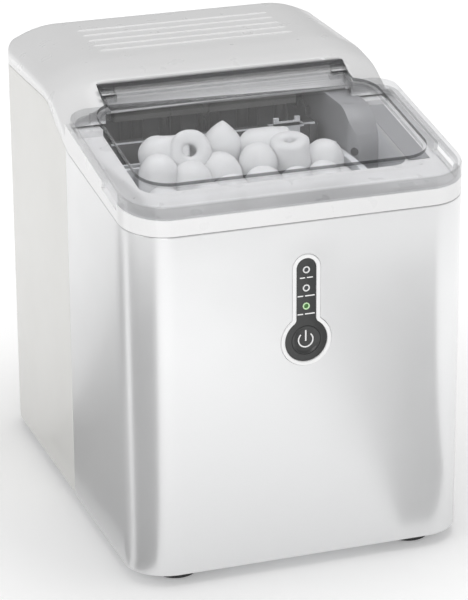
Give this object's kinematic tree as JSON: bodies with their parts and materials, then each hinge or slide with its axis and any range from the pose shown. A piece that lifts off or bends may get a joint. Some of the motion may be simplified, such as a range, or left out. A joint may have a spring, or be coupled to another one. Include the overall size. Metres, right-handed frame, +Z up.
{
  "type": "ice maker",
  "caption": "Countertop ice maker with a sloping clear hinged lid, domed rear housing, tilting ice tray, lift-out basket and a front control panel with one round button.",
  "frame": {"origin": "centre of the footprint, on the floor under the rubber feet", "axes": "+X to the user's right when facing the front, +Y from the front panel to the rear grille, +Z up"},
  "size_m": [0.242, 0.3256, 0.3155],
  "materials": {
    "pearl_panel": "pearl silver-white gloss",
    "warm_white_casing": "semi-gloss",
    "white_cover": "gloss",
    "white_liner": "satin",
    "clear_lid": "clear, lightly smoked plastic",
    "dark_fascia": "satin gloss",
    "white_mark": "printed white",
    "green_lens": "tinted lens",
    "black_rubber": "matte",
    "black_plastic": "satin",
    "grey_plastic": "satin",
    "tray_plastic": "dark satin",
    "zinc_steel": "zinc plated",
    "nickel_plate": "nickel plated",
    "copper_tube": "drawn copper",
    "aluminium_fins": "mill finish",
    "black_enamel": "black enamel",
    "galvanised_pan": "grey coated steel",
    "foam": "rigid foam",
    "green_board": "solder mask",
    "clear_hose": "soft tube"
  },
  "bodies": {
    "cabinet": {"base_pan": "galvanised_pan", "rubber_feet": "black_rubber", "foot_screws": "zinc_steel", "casing_screws": "zinc_steel", "front_panel": "pearl_panel", "left_casing": "warm_white_casing", "right_casing": "warm_white_casing", "back_panel": "warm_white_casing", "rear_shield": "black_plastic", "rear_grille": "warm_white_casing", "cord_gland": "black_rubber", "top_cover": "white_cover", "lid_hinge_pins": "zinc_steel", "panel_surround": "white_cover", "panel_fascia": "dark_fascia", "indicator_bezels": "white_mark", "indicator_lenses": "green_lens", "display_board": "green_board", "button_switch": "black_plastic", "inner_tub": "white_liner", "tub_screws": "zinc_steel", "foam_insulation": "foam", "ice_chute": "white_liner", "tray_bush": "white_liner", "motor_housing": "grey_plastic", "gear_motor": "zinc_steel", "ice_sensor": "black_plastic", "level_sensor": "black_plastic", "evaporator": "nickel_plate", "evaporator_bracket": "zinc_steel", "suction_tube": "copper_tube", "liquid_tube": "copper_tube", "discharge_tube": "copper_tube", "filter_drier": "copper_tube", "hot_gas_valve": "black_plastic", "compressor": "black_enamel", "compressor_grommets": "black_rubber", "relay_cover": "black_plastic", "condenser": "aluminium_fins", "fan_frame": "black_plastic", "fan_motor": "black_plastic", "water_pump": "black_plastic", "pump_hose": "clear_hose", "fill_nozzle": "white_liner", "drain_spout": "white_liner", "control_board": "green_board", "power_supply": "zinc_steel"},
    "lid": {"lid": "clear_lid"},
    "power_button": {"power_button": "dark_fascia", "power_symbol": "white_mark"},
    "ice_tray": {"water_tray": "tray_plastic", "ice_shovel": "white_liner"},
    "ice_basket": {"ice_basket": "white_liner"},
    "fan_rotor": {"fan_blades": "black_plastic"},
    "drain_plug": {"drain_plug": "black_rubber"}
  },
  "joints": [
    {"name": "lid_hinge", "type": "hinge", "parent": "cabinet", "child": "lid", "pos_m": [0, 0.004, 0.2995], "axis": [-1, 0, 0], "range_deg": [0, 105]},
    {"name": "power_button_press", "type": "slide", "parent": "cabinet", "child": "power_button", "axis": [0, 1, 0], "range_m": [0, 0.0008], "stiffness_N_per_m": 800, "springref_m": -0.0008},
    {"name": "tray_tilt", "type": "hinge", "parent": "cabinet", "child": "ice_tray", "pos_m": [0, 0.036, 0.262], "axis": [1, 0, 0], "range_deg": [0, 88]},
    {"name": "basket_lift", "type": "slide", "parent": "cabinet", "child": "ice_basket", "axis": [0, 0, 1], "range_m": [0, 0.006]},
    {"name": "fan_spin", "type": "hinge", "parent": "cabinet", "child": "fan_rotor", "pos_m": [-0.054, 0.113, 0.066], "axis": [0, 1, 0], "continuous": true},
    {"name": "drain_plug_pull", "type": "slide", "parent": "cabinet", "child": "drain_plug", "axis": [1, 0, 0], "range_m": [0, 0.016]}
  ]
}
